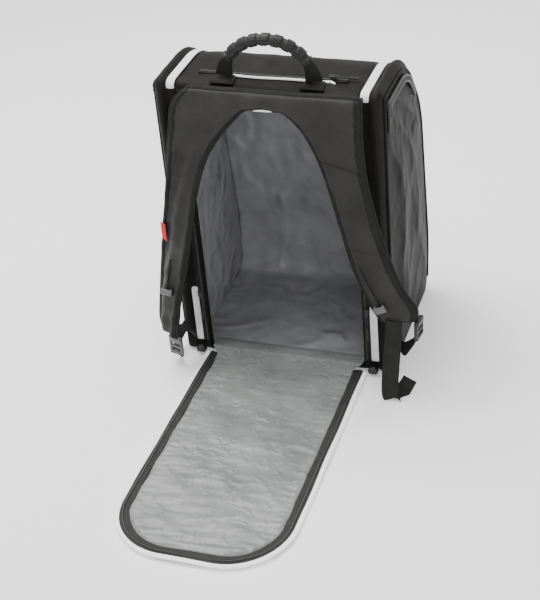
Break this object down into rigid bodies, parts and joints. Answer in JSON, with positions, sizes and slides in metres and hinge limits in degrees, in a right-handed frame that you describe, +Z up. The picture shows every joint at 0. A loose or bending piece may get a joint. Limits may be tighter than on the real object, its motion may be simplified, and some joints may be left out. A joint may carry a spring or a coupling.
{
  "type": "ski boot bag",
  "caption": "Backpack-style boot bag standing open, with its back panel unzipped and folded down, padded shoulder straps, a moulded grip handle and zipped pockets.",
  "frame": {"origin": "on the underside of the base, at the middle of the body's width and depth", "axes": "+Z up; -Y towards the harness side, where the opening is and the panel folds down; +X to the right of someone facing the opening"},
  "size_m": [0.4191, 0.7239, 0.5549],
  "materials": {
    "black_fabric": "matte woven polyester, olive black",
    "pad_fabric": "matte woven polyester over soft foam",
    "coated_fabric": "smooth coated cloth with a soft sheen",
    "silver_lining": "thin grey lining with a faint sheen",
    "white_trim": "white reflective trim and piping",
    "webbing": "ribbed black webbing",
    "zip_tape": "black woven zip tape",
    "zip_teeth": "black moulded zip teeth",
    "rubber": "matte black moulded rubber",
    "dark_plastic": "black moulded plastic",
    "grey_plastic": "grey moulded plastic",
    "board": "stiff plastic board",
    "foam": "closed-cell foam sheet",
    "red_label": "plain woven red tab"
  },
  "bodies": {
    "root": {"outer_shell": "black_fabric", "inner_lining": "silver_lining", "base_board": "board", "left_side_panel": "coated_fabric", "right_side_panel": "coated_fabric", "left_trim_band": "white_trim", "right_trim_band": "white_trim", "left_side_piping": "webbing", "right_side_piping": "webbing", "opening_zip_tape": "zip_tape", "opening_zip_teeth": "zip_teeth", "flap_hinge_tape": "webbing", "harness_yoke": "pad_fabric", "left_shoulder_pad": "pad_fabric", "right_shoulder_pad": "pad_fabric", "left_strap_end": "pad_fabric", "right_strap_end": "pad_fabric", "left_ladder_lock": "grey_plastic", "right_ladder_lock": "dark_plastic", "left_lower_webbing": "webbing", "right_lower_webbing": "webbing", "left_webbing_tail": "webbing", "right_webbing_tail": "webbing", "left_webbing_anchor": "webbing", "right_webbing_anchor": "webbing", "left_zip_end_guard": "dark_plastic", "right_zip_end_guard": "dark_plastic", "left_handle_patch": "webbing", "right_handle_patch": "webbing", "top_zip_tape": "zip_tape", "top_zip_piping": "white_trim", "top_pocket_bag": "black_fabric", "left_side_zip": "zip_tape", "right_side_zip": "zip_tape", "left_zip_garage": "rubber", "right_zip_garage": "rubber", "left_sternum_rail": "webbing", "right_sternum_rail": "webbing", "label_tab": "red_label"},
    "flap": {"flap_panel": "black_fabric", "flap_piping": "white_trim", "flap_zip_tape": "zip_tape", "flap_zip_teeth": "zip_teeth", "flap_foam": "foam", "flap_lining": "silver_lining"},
    "handle": {"handle_grip": "rubber", "left_handle_webbing": "webbing", "right_handle_webbing": "webbing"},
    "top_slider": {"top_zip_slider": "dark_plastic"},
    "top_pull": {"top_zip_pull": "webbing"},
    "left_main_slider": {"left_main_zip_slider": "dark_plastic"},
    "left_main_pull": {"left_main_zip_pull": "webbing"},
    "left_side_slider": {"left_side_zip_slider": "dark_plastic"},
    "left_side_pull": {"left_side_zip_pull": "webbing"},
    "left_sternum_catch": {"left_sternum_slider": "grey_plastic"},
    "right_main_slider": {"right_main_zip_slider": "dark_plastic"},
    "right_main_pull": {"right_main_zip_pull": "webbing"},
    "right_side_slider": {"right_side_zip_slider": "dark_plastic"},
    "right_side_pull": {"right_side_zip_pull": "webbing"},
    "right_sternum_catch": {"right_sternum_slider": "grey_plastic"}
  },
  "joints": [
    {"name": "flap_hinge", "type": "hinge", "parent": "root", "child": "flap", "pos_m": [0, -0.1385, 0.004], "axis": [-1, 0, 0], "range_deg": [0, 90], "deforming": ["left_shoulder_pad", "right_shoulder_pad"]},
    {"name": "handle_fold", "type": "hinge", "parent": "root", "child": "handle", "pos_m": [0, -0.107, 0.4825], "axis": [1, 0, 0], "range_deg": [-55, 55]},
    {"name": "top_zip_slide", "type": "slide", "parent": "root", "child": "top_slider", "axis": [-1, 0, 0], "range_m": [0, 0.15]},
    {"name": "top_zip_pull_swing", "type": "hinge", "parent": "top_slider", "child": "top_pull", "pos_m": [0.0976, -0.089, 0.4816], "axis": [0, -1, 0], "range_deg": [0, 85]},
    {"name": "left_main_zip_slide", "type": "slide", "parent": "root", "child": "left_main_slider", "axis": [0, 0, 1], "range_m": [-0.045, 0.24]},
    {"name": "left_main_zip_pull_swing", "type": "hinge", "parent": "left_main_slider", "child": "left_main_pull", "pos_m": [-0.1342, -0.13565, 0.1084], "axis": [-1, 0, 0], "range_deg": [0, 100]},
    {"name": "left_side_zip_slide", "type": "slide", "parent": "root", "child": "left_side_slider", "axis": [0, 1, 0], "range_m": [0, 0.05]},
    {"name": "left_side_zip_pull_swing", "type": "hinge", "parent": "left_side_slider", "child": "left_side_pull", "pos_m": [-0.1725, -0.091, 0.4519], "axis": [0, 1, 0], "range_deg": [0, 100]},
    {"name": "right_main_zip_slide", "type": "slide", "parent": "root", "child": "right_main_slider", "axis": [0, 0, 1], "range_m": [-0.045, 0.24]},
    {"name": "right_main_zip_pull_swing", "type": "hinge", "parent": "right_main_slider", "child": "right_main_pull", "pos_m": [0.1342, -0.13565, 0.1084], "axis": [-1, 0, 0], "range_deg": [0, 100]},
    {"name": "right_side_zip_slide", "type": "slide", "parent": "root", "child": "right_side_slider", "axis": [0, 1, 0], "range_m": [0, 0.05]},
    {"name": "right_side_zip_pull_swing", "type": "hinge", "parent": "right_side_slider", "child": "right_side_pull", "pos_m": [0.1725, -0.091, 0.4519], "axis": [0, -1, 0], "range_deg": [0, 100]},
    {"name": "right_sternum_slide", "type": "slide", "parent": "root", "child": "right_sternum_catch", "axis": [-0.3968, 0.0248, 0.9176], "range_m": [0, 0.061]},
    {"name": "left_sternum_slide", "type": "slide", "parent": "root", "child": "left_sternum_catch", "axis": [0.1815, 0.0151, 0.9833], "range_m": [0, 0.05]}
  ]
}
